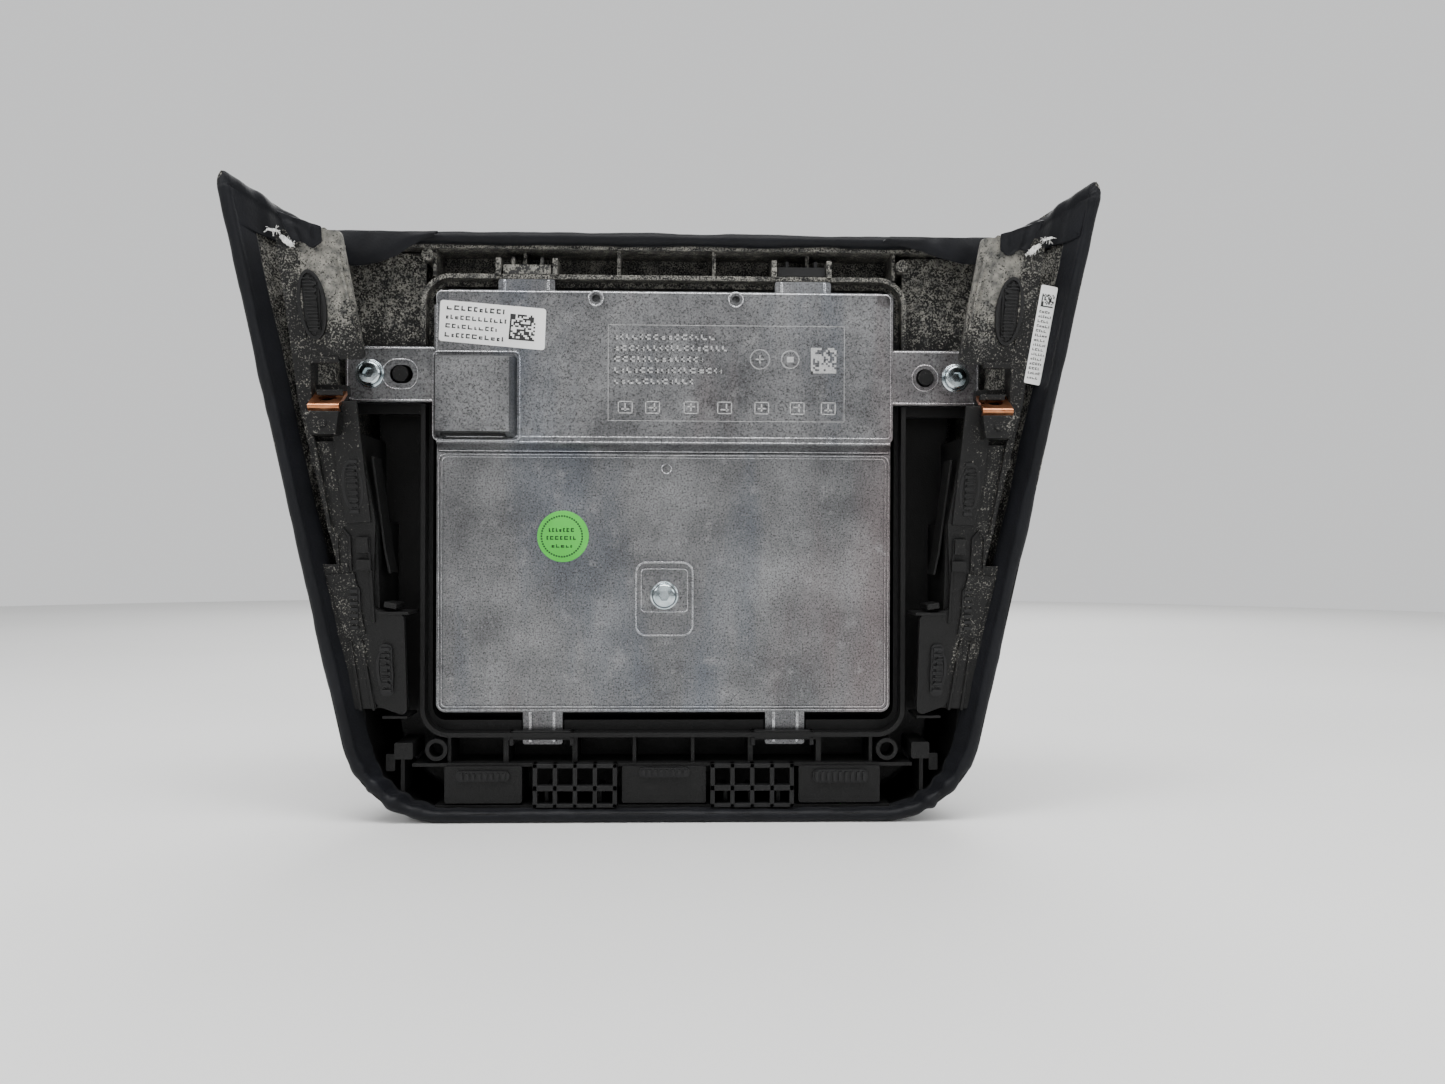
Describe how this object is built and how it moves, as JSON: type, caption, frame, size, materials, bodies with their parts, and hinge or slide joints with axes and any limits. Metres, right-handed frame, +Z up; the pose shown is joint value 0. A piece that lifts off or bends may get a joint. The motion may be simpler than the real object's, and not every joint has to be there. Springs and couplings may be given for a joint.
{
  "type": "wireless charging pad",
  "caption": "Two-phone wireless charging dock for a car console: leather-wrapped trim with winged corners, moulded carrier and die-cast charger module screwed in from behind",
  "frame": {"origin": "under the middle of the dock, on the plane of its foot", "axes": "+X to the right seen from behind, +Y towards the leather front that holds the phones, +Z up along the phones"},
  "size_m": [0.2874, 0.0765, 0.2177],
  "materials": {
    "frame_plastic": "moulded black with sprayed adhesive",
    "leather": "grained black leather, pleated corners",
    "carrier_plastic": "moulded black",
    "cast_aluminium": "die cast, lightly blasted",
    "socket_plastic": "moulded black",
    "contact": "tinned",
    "cover_plastic": "moulded black",
    "gasket_rubber": "soft",
    "tray_plastic": "moulded white",
    "ferrite": "sintered",
    "copper": "enamelled copper wire",
    "mat_rubber": "soft touch",
    "copper_steel": "copper-coloured plated spring steel",
    "board": "solder mask",
    "soft_pad": "silicone",
    "zinc": "zinc plated",
    "weld_plastic": "melted and ribbed by the welding tool",
    "snap_plastic": "moulded beige",
    "label_paper": "printed label",
    "green_paper": "printed sticker",
    "panel_plastic": "moulded black",
    "divider_plastic": "satin black",
    "ledge_rubber": "soft"
  },
  "bodies": {
    "root": {"trim_frame": "frame_plastic", "leather_wrap": "leather", "inner_carrier": "carrier_plastic", "charger_housing": "cast_aluminium", "connector_shell": "socket_plastic", "connector_pins": "contact", "charger_cover": "cover_plastic", "cover_gasket": "gasket_rubber", "coil_tray": "tray_plastic", "ferrite_left": "ferrite", "coil_left": "copper", "phone_mat_left": "mat_rubber", "nut_clip_left": "copper_steel", "ferrite_right": "ferrite", "coil_right": "copper", "phone_mat_right": "mat_rubber", "nut_clip_right": "copper_steel", "circuit_board": "board", "thermal_pad": "soft_pad", "ear_screws": "zinc", "centre_screw": "zinc", "weld_stakes": "weld_plastic", "snap_left": "snap_plastic", "snap_right": "carrier_plastic", "part_label": "label_paper", "check_sticker": "green_paper", "wing_label": "label_paper", "charging_panel": "panel_plastic", "centre_divider": "divider_plastic", "phone_ledge": "ledge_rubber"}
  },
  "joints": []
}
